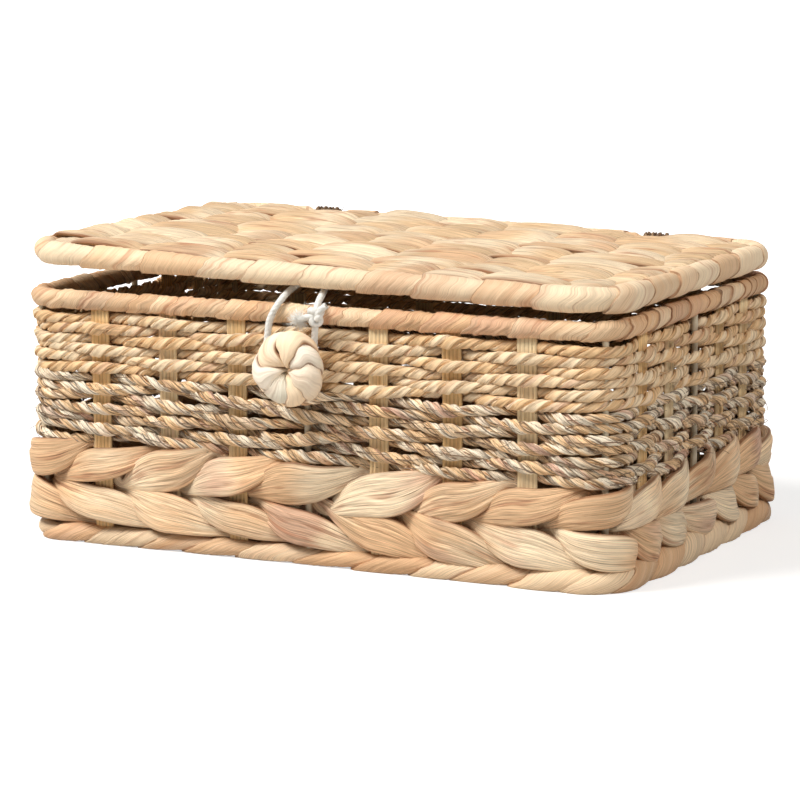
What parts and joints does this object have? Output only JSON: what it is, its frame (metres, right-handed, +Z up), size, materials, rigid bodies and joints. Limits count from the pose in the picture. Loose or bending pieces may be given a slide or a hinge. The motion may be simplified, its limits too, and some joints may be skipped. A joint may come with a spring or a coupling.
{
  "type": "lidded woven storage basket",
  "caption": "Rectangular woven storage basket on a wire frame, with a lid hinged on cord ties and a button and cord loop closure.",
  "frame": {"origin": "middle of the base, on the floor plane that the border and the base mat stand on", "axes": "+X along the long side, -Y out of the front with the button, +Z up"},
  "size_m": [0.3014, 0.2153, 0.1372],
  "materials": {
    "hyacinth_leaf": "dried leaf wrap",
    "hyacinth_strand": "twined dried leaf",
    "tan_rope": "twisted rope",
    "seagrass_rope": "twisted seagrass",
    "seagrass_tie": "dark twisted seagrass",
    "cane_stake": "ribbed flat cane",
    "frame_wire": "drawn grey wire",
    "cotton_cord": "braided cotton"
  },
  "bodies": {
    "basket": {"base_wire": "frame_wire", "base_border_wrap": "hyacinth_leaf", "rim_wire": "frame_wire", "rim_wrap": "hyacinth_leaf", "corner_wires": "frame_wire", "middle_wires": "frame_wire", "front_stakes": "cane_stake", "right_stakes": "cane_stake", "back_stakes": "cane_stake", "left_stakes": "cane_stake", "tan_rope_row_1": "tan_rope", "tan_rope_row_2": "tan_rope", "tan_rope_row_3": "tan_rope", "tan_rope_row_4": "tan_rope", "tan_rope_row_5": "tan_rope", "tan_rope_row_6": "tan_rope", "seagrass_rope_row_1": "seagrass_rope", "seagrass_rope_row_2": "seagrass_rope", "seagrass_rope_row_3": "seagrass_rope", "seagrass_rope_row_4": "seagrass_rope", "seagrass_rope_row_5": "seagrass_rope", "seagrass_rope_row_6": "seagrass_rope", "seagrass_rope_row_7": "seagrass_rope", "upper_twining_strand_1": "hyacinth_strand", "upper_twining_strand_2": "hyacinth_strand", "lower_twining_strand_1": "hyacinth_strand", "lower_twining_strand_2": "hyacinth_strand", "base_cross_stakes": "cane_stake", "base_twined_row_1": "hyacinth_strand", "base_twined_row_2": "hyacinth_strand", "base_twined_row_3": "hyacinth_strand", "base_twined_row_4": "hyacinth_strand", "base_twined_row_5": "hyacinth_strand", "base_twined_row_6": "hyacinth_strand", "base_twined_row_7": "hyacinth_strand", "base_twined_row_8": "hyacinth_strand", "base_twined_row_9": "hyacinth_strand", "hinge_tie_left": "seagrass_tie", "hinge_tie_right": "seagrass_tie", "button_shank": "hyacinth_leaf"},
    "button": {"button": "hyacinth_leaf"},
    "lid": {"lid_wire": "frame_wire", "lid_rim_wrap": "hyacinth_leaf", "lid_cross_wires": "frame_wire", "lid_twined_row_1": "hyacinth_strand", "lid_twined_row_2": "hyacinth_strand", "lid_twined_row_3": "hyacinth_strand", "lid_twined_row_4": "hyacinth_strand", "lid_twined_row_5": "hyacinth_strand", "lid_twined_row_6": "hyacinth_strand", "lid_twined_row_7": "hyacinth_strand", "lid_twined_row_8": "hyacinth_strand", "lid_twined_row_9": "hyacinth_strand"},
    "loop": {"loop_cord": "cotton_cord", "loop_knot": "cotton_cord", "loop_tails": "cotton_cord"}
  },
  "joints": [
    {"name": "lid_hinge", "type": "hinge", "parent": "basket", "child": "lid", "pos_m": [0, 0.093, 0.1285], "axis": [-0.9996, 0, 0.0279], "range_deg": [0, 180], "deforming": ["loop_cord", "loop_knot", "loop_tails"]},
    {"name": "loop_swing", "type": "hinge", "parent": "lid", "child": "loop", "pos_m": [0, -0.0862, 0.1285], "axis": [-0.9996, 0, 0.0279], "range_deg": [-180, 0], "deforming": ["loop_cord", "loop_knot", "loop_tails"]},
    {"name": "button_turn", "type": "hinge", "parent": "basket", "child": "button", "pos_m": [0, -0.1095, 0.0896], "axis": [0, 1, 0], "range_deg": [-40, 40]}
  ],
  "couplings": [
    {"joint": "loop_swing", "follows": "lid_hinge", "ratio": -1}
  ]
}
